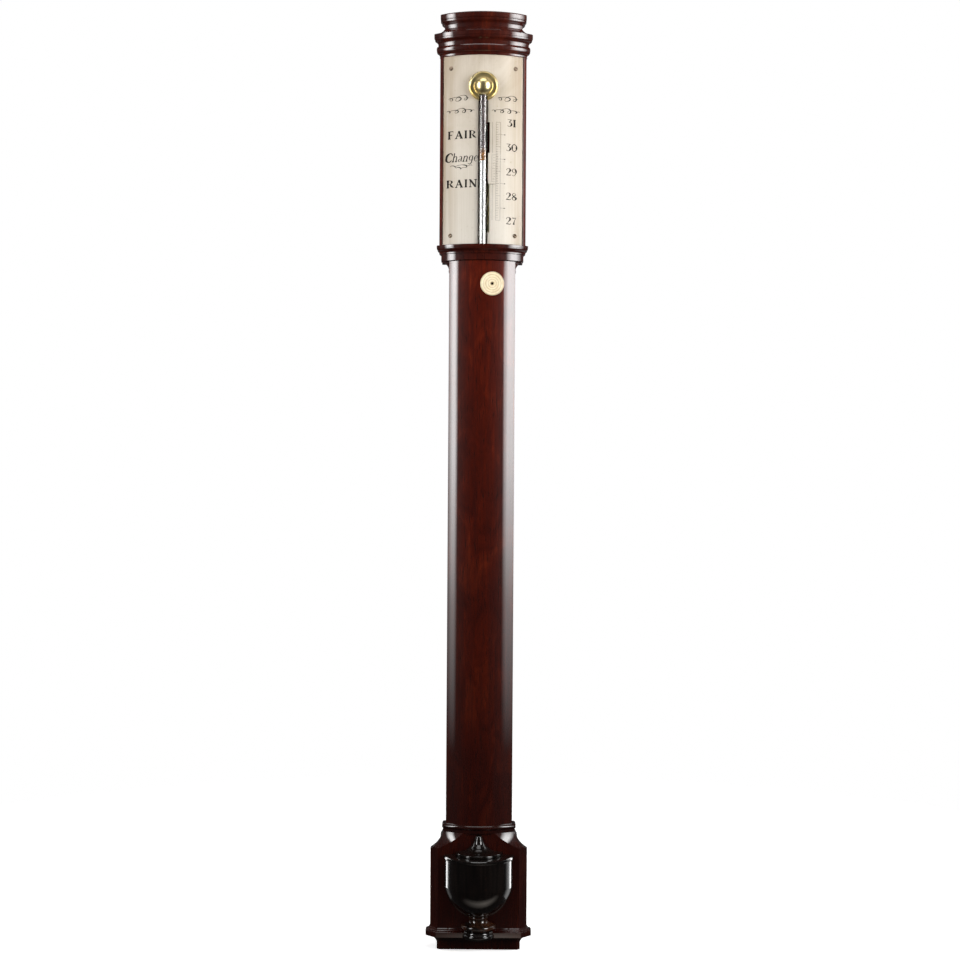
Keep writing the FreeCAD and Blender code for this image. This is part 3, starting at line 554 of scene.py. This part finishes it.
def blued_steel():
    metal = Finish("old_steel", Metallic=1.0)
    clouds = metal.noise((400, 400, 400), 4.0, 0.6)
    colour = metal.ramp(clouds, (0.35, (0.022, 0.015, 0.010)), (0.65, (0.070, 0.052, 0.038)))
    metal.apply(**{"Base Color": colour, "Roughness": metal.grey(clouds, (0.3, 0.5), (0.7, 0.32)),
                   "Normal": metal.bump(clouds, 0.15, 0.0001)})
    return metal.material


def tube_glass():
    glass = Finish("tube_glass", Transmission_Weight=1.0, IOR=1.47)
    seeds = glass.noise((300, 300, 40), 3.0, 0.5)
    glass.apply(**{"Base Color": glass.ramp(seeds, (0.3, (0.93, 0.95, 0.93)), (0.7, (1.0, 1.0, 1.0))),
                   "Roughness": glass.grey(seeds, (0.4, 0.0), (0.7, 0.03)),
                   "Normal": glass.bump(seeds, 0.03, 0.0001)})
    return glass.material


def liquid_mercury():
    metal = Finish("quicksilver", Metallic=0.75)
    skin = metal.noise((200, 200, 45), 3.0, 0.5)
    metal.apply(**{"Base Color": metal.ramp(skin, (0.3, (0.74, 0.74, 0.75)), (0.7, (0.92, 0.91, 0.90))),
                   "Roughness": metal.grey(skin, (0.3, 0.50), (0.7, 0.38))})
    return metal.material


def oxide_film():
    film = Finish("oxide_film")
    blots = film.noise((700, 700, 260), 4.0, 0.6, 0.4)
    brown = film.ramp(blots, (0.32, (0.10, 0.035, 0.012)), (0.56, (0.42, 0.17, 0.04)),
                      (0.76, (0.85, 0.60, 0.32)))
    # Grey-mauve higher up is painted shade and reflection, standing in for the dark slot seen through the
    # glass and the glass's sheen.
    painted_bore_mottle = film.noise((260, 260, 40), 4.0, 0.6)
    mauve = film.ramp(painted_bore_mottle, (0.30, (0.115, 0.085, 0.090)), (0.72, (0.24, 0.19, 0.19)))
    drift = film.noise((500, 500, 120), 2.0, 0.5)
    edge = film.maths("MULTIPLY_ADD", drift, 5 * MM, film.along("Z"))
    span = film.spread(edge, COLUMN_HIGH.z + 9 * MM, COLUMN_HIGH.z + 15 * MM)
    film.apply(**{"Base Color": film.mix(span, brown, mauve),
                  "Roughness": film.grey(blots, (0.3, 0.7), (0.7, 0.45)),
                  "Normal": film.bump(blots, 0.3, 0.0002)})
    return film.material


# Turns a distance from the roundel's middle into a place on the ring ramp, 1 at 12.5 mm.
RING_SCALE = 80.0


def turned_bone():
    """Turned bone: cream, with faint grain, darker rings at set radii and a darker centre."""
    bone = Finish("turned_bone", Coat_Weight=0.4, Coat_Roughness=0.2)
    grain = bone.noise((240, 240, 240), 4.0, 0.6, 0.3)
    dirt = bone.noise((900, 900, 900), 2.0, 0.5)
    colour = bone.ramp(grain, (0.30, (0.72, 0.60, 0.38)), (0.62, (0.86, 0.77, 0.56)))
    colour = bone.mix(bone.grey(dirt, (0.22, 0.4), (0.32, 0.0)), colour, (0.30, 0.18, 0.08, 1.0))
    hub = middle("key_disc")
    across = bone.add("ShaderNodeVectorMath", {0: bone.place, 1: (hub.x, 0.0, hub.z)},
                      operation="SUBTRACT")
    flat = bone.add("ShaderNodeVectorMath", {0: across.outputs[0], 1: (1.0, 0.0, 1.0)},
                    operation="MULTIPLY")
    radius = bone.add("ShaderNodeVectorMath", {0: flat.outputs[0]}, operation="LENGTH")
    reach = bone.maths("MULTIPLY", radius.outputs["Value"], RING_SCALE)
    stops = [(0.0, 1.0), (0.145, 0.9), (0.165, 0.0)]
    for ring in (0.34, 0.53, 0.73, 0.94):
        stops += [(ring - 0.035, 0.0), (ring, 0.75), (ring + 0.035, 0.0)]
    colour = bone.mix(bone.grey(reach, *stops), colour, (0.40, 0.24, 0.09, 1.0))
    bone.apply(**{"Base Color": colour, "Roughness": bone.grey(grain, (0.3, 0.5), (0.7, 0.34)),
                  "Subsurface Weight": 0.1, "Subsurface Scale": 0.001,
                  "Normal": bone.bump(dirt, 0.08, 0.0002)})
    return bone.material


def plain_boxwood():
    wood = Finish("boxwood", Coat_Weight=0.2, Coat_Roughness=0.3)
    grain = wood.noise((500, 500, 30), 4.0, 0.6, 0.2)
    wood.apply(**{"Base Color": wood.ramp(grain, (0.3, (0.36, 0.22, 0.09)), (0.7, (0.62, 0.43, 0.20))),
                  "Roughness": wood.grey(grain, (0.3, 0.55), (0.7, 0.4)),
                  "Normal": wood.bump(grain, 0.1, 0.0002)})
    return wood.material


def soft_leather():
    hide = Finish("chamois_leather")
    pores = hide.noise((1200, 1200, 1200), 3.0, 0.6)
    tone = hide.noise((120, 120, 120), 3.0, 0.5)
    hide.apply(**{"Base Color": hide.ramp(tone, (0.3, (0.34, 0.20, 0.10)), (0.7, (0.55, 0.38, 0.21))),
                  "Roughness": hide.grey(pores, (0.3, 0.9), (0.7, 0.7)),
                  "Normal": hide.bump(pores, 0.35, 0.0003)})
    return hide.material


def engraver_wax():
    wax = Finish("engraver_wax", Specular_IOR_Level=0.1)
    patchiness = wax.noise((900, 900, 900), 3.0, 0.6)
    wax.apply(**{"Base Color": wax.ramp(patchiness, (0.35, (0.006, 0.005, 0.005)), (0.75, (0.040, 0.034, 0.030))),
                 "Roughness": wax.grey(patchiness, (0.3, 0.85), (0.7, 0.65))})
    return wax.material


mahogany = polished_mahogany("mahogany_trunk", (0.040, 0.0032, 0.0010), (0.082, 0.0072, 0.0018),
                             (0.150, 0.018, 0.0045))
moulding = polished_mahogany("mahogany_moulding", (0.020, 0.0020, 0.0009), (0.046, 0.0052, 0.0020),
                             (0.095, 0.014, 0.0050))
box_wood = polished_mahogany("mahogany_base", (0.036, 0.0030, 0.0010), (0.068, 0.0070, 0.0020),
                             (0.120, 0.016, 0.0045))
plain_back = bare_mahogany()
black_wax = engraver_wax()
oxide_and_painted_bore = oxide_film()
finishes = {
    "mahogany": mahogany,
    "ebony": polished_ebony("ebonised_wood", 0.66),
    "boxwood": plain_boxwood(),
    "silvered_brass": silvering("silvered_plate", (0.43, 0.36, 0.27), (0.58, 0.52, 0.44)),
    "brass": lacquered_brass("lacquered_brass", (0.74, 0.56, 0.22), (0.95, 0.82, 0.46), 0.26, 0.40),
    "steel": blued_steel(),
    "glass": tube_glass(),
    "mercury": liquid_mercury(),
    "leather": soft_leather(),
    "bone": turned_bone(),
}
own_finish = {
    "cornice": moulding,
    "cornice_cap": moulding,
    "lower_hood_moulding": moulding,
    "trunk_base_bead": moulding,
    "cistern_box": box_wood,
    "plinth_moulding": box_wood,
    "trunk_back_strip": plain_back,
    "cistern_back_cover": plain_back,
    # On the stem the brown patches are rubbed stain and, far wider, a painted reflection of the mahogany
    # box in the black polish.
    "urn_stem": polished_ebony("ebonised_stem", 0.36),
}
for part in frame["record"]["subparts"]:
    mesh = nodes[part["node"]].data
    mesh.materials.clear()
    mesh.materials.append(own_finish.get(part["node"], finishes[part["material_slot"]]))

engrave_plate()
engrave_vernier()
stain_tube()


# ---- studio ----
def softbox(name, target, angle, distance, width, height, power, colour=(1.0, 1.0, 1.0), rise=0.0,
            across=None, upward=None):
    """A panel of light, angle degrees round from the front, that faces its target."""
    light = bpy.data.lights.new(name, "AREA")
    light.shape = "RECTANGLE"
    light.size = width
    light.size_y = height
    light.energy = power
    light.color = colour
    obj = bpy.data.objects.new(name, light)
    turn = math.radians(angle)
    obj.location = target + Vector((math.sin(turn) * distance, -math.cos(turn) * distance, rise))
    obj.rotation_euler = (target - obj.location).to_track_quat("-Z", "Y").to_euler()
    obj.visible_camera = False
    scene.collection.objects.link(obj)
    fade_light(light, across, upward)
    return obj


def fade_light(light, across, upward):
    """Falls off over the panel's width and height, by (position, level) stops from 0 to 1."""
    light.use_nodes = True
    tree = light.node_tree
    place = tree.nodes.new("ShaderNodeNewGeometry")
    split = tree.nodes.new("ShaderNodeSeparateXYZ")
    tree.links.new(place.outputs["Parametric"], split.inputs[0])
    level = None
    for axis, stops in ((0, across), (1, upward)):
        if not stops:
            continue
        ramp = tree.nodes.new("ShaderNodeValToRGB")
        tree.links.new(split.outputs[axis], ramp.inputs["Fac"])
        set_stops(ramp, [(position, (grey,) * 3) for position, grey in stops])
        product = tree.nodes.new("ShaderNodeMath")
        product.operation = "MULTIPLY"
        product.inputs[1].default_value = 1.0
        tree.links.new(ramp.outputs["Color"], product.inputs[0])
        if level is not None:
            tree.links.new(level, product.inputs[1])
        level = product.outputs[0]
    if level is not None:
        tree.links.new(level, tree.nodes["Emission"].inputs["Strength"])


def build_floor(height):
    """Pale floor that fades into the white surroundings."""
    half = 2.0
    mesh = bpy.data.meshes.new("studio_floor")
    corners = ((-half, -half), (half, -half), (half, half), (-half, half))
    mesh.from_pydata([(x, y, height) for x, y in corners], [], [(0, 1, 2, 3)])
    floor = bpy.data.objects.new("studio_floor", mesh)
    scene.collection.objects.link(floor)
    paper = Finish("studio_paper", Roughness=0.35,
                   Emission_Color=(1.0, 1.0, 1.0, 1.0), Emission_Strength=0.55)
    tooth = paper.noise((40, 40, 40), 3.0, 0.5)
    paper.apply(**{"Base Color": paper.ramp(tooth, (0.3, (0.86, 0.86, 0.86)), (0.7, (0.88, 0.88, 0.88)))})
    reach = paper.add("ShaderNodeVectorMath", {0: paper.place, 1: (1.0, 1.0, 0.0)},
                      operation="MULTIPLY")
    length = paper.add("ShaderNodeVectorMath", {0: reach.outputs[0]}, operation="LENGTH")
    fade = paper.grey(length.outputs["Value"], (0.35, 0.0), (1.0, 1.0))
    clear = paper.add("ShaderNodeBsdfTransparent")
    blend = paper.add("ShaderNodeMixShader", {0: fade, 1: paper.shader.outputs[0], 2: clear.outputs[0]})
    output = paper.tree.nodes["Material Output"]
    paper.feed(output.inputs["Surface"], blend.outputs[0])
    mesh.materials.append(paper.material)
    floor.visible_glossy = False
    floor.visible_diffuse = False


centre = (cad_low + cad_high) / 2
build_floor(FOOT_Z - 0.2 * MM)

soft_edges = [(0.0, 0.0), (0.35, 1.0), (0.65, 1.0), (1.0, 0.0)]
low_fade = [(0.28, 0.0), (0.40, 0.20), (0.52, 0.75), (0.66, 1.0)]
rim_fade = [(0.0, 0.8), (0.45, 1.0), (1.0, 0.0)]
all_round = [(0.0, 0.0), (0.5, 1.0), (1.0, 0.0)]

# Tall side panels, whose reflections run down the trunk and end above the base.
softbox("softbox_left", centre, angle=-57, distance=1.25, width=0.40, height=2.2, power=50.0,
        across=soft_edges, upward=low_fade)
softbox("softbox_right", centre, angle=58, distance=1.25, width=0.66, height=2.2, power=76.0,
        across=soft_edges, upward=low_fade)
softbox("overhead", centre, angle=0, distance=0.5, width=1.2, height=0.7, power=9.0, rise=1.7)
for name, angle in (("back_fill_left", 222), ("back_fill_right", 138)):
    softbox(name, centre, angle, distance=1.5, width=0.8, height=1.6, power=24.0, across=soft_edges)

# Small lights low down, for the edges of the urn and the nosing of the plinth.
base = Vector((centre.x, centre.y, FOOT_Z + 90 * MM))
softbox("rim_left", base, angle=-128, distance=0.6, width=0.30, height=0.8, power=0.25,
        across=soft_edges, upward=rim_fade)
softbox("rim_right", base, angle=122, distance=0.6, width=0.46, height=0.8, power=1.3,
        across=soft_edges, upward=rim_fade)
low_place = Vector((centre.x + 25 * MM, cad_low.y - 22 * MM, FOOT_Z + 1 * MM))
softbox("low_strip", low_place + Vector((0, 0, 1)), angle=0, distance=0.0, width=0.20, height=0.05,
        power=0.045, colour=(1.0, 0.90, 0.80), rise=-1.0, across=all_round, upward=all_round)

# The camera sees a white surround; the object sees a faint grey one.
world = bpy.data.worlds.new("studio")
scene.world = world
world.use_nodes = True
air = world.node_tree
background = air.nodes["Background"]
background.inputs["Color"].default_value = (0.60, 0.60, 0.62, 1.0)
background.inputs["Strength"].default_value = 0.04
white = air.nodes.new("ShaderNodeBackground")
white.inputs["Color"].default_value = (1.0, 1.0, 1.0, 1.0)
white.inputs["Strength"].default_value = 1.0
path = air.nodes.new("ShaderNodeLightPath")
choice = air.nodes.new("ShaderNodeMixShader")
air.links.new(path.outputs["Is Camera Ray"], choice.inputs[0])
air.links.new(background.outputs[0], choice.inputs[1])
air.links.new(white.outputs[0], choice.inputs[2])
air.links.new(choice.outputs[0], air.nodes["World Output"].inputs["Surface"])

CAMERA_DISTANCE = 1.71
CAMERA_ROLL = -0.35
LENS_MM = 61.9
SENSOR_MM = 36.0
camera_data = bpy.data.cameras.new("camera")
camera_data.lens = LENS_MM
camera_data.sensor_width = SENSOR_MM
camera = bpy.data.objects.new("camera", camera_data)
scene.collection.objects.link(camera)
camera.location = (centre.x - 1.0 * MM, PLATE_FRONT - CAMERA_DISTANCE, centre.z - 0.5 * MM)
camera.rotation_euler = (math.radians(90), math.radians(CAMERA_ROLL), 0)
scene.camera = camera
scene.view_settings.view_transform = "Standard"
